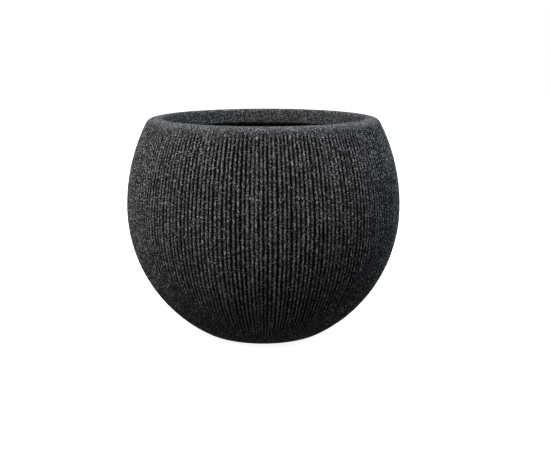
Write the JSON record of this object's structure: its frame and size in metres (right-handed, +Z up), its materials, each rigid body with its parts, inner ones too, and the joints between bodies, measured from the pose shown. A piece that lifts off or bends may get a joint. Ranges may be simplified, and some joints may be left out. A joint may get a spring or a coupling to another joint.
{
  "type": "ball planter",
  "caption": "Ball-shaped ribbed garden planter with a rounded rim, a turned-in collar and a drain hole closed by a pull-out plug.",
  "frame": {"origin": "on the ground, under the middle of the pot", "axes": "+Z up along the pot's own axis; the pot is round, so X and Y are free, and one foot pad lies on +Y"},
  "size_m": [0.4, 0.4, 0.3151],
  "materials": {
    "charcoal_shell": "matte, granular, pale speckle",
    "plug_rubber": "matte",
    "pad_rubber": "matte"
  },
  "bodies": {
    "pot": {"pot_shell": "charcoal_shell", "foot_pad_1": "pad_rubber", "foot_pad_2": "pad_rubber", "foot_pad_3": "pad_rubber"},
    "plug": {"drain_plug": "plug_rubber"}
  },
  "joints": [
    {"name": "plug_pull", "type": "slide", "parent": "pot", "child": "plug", "axis": [0, 0, 1], "range_m": [0, 0.34]}
  ]
}
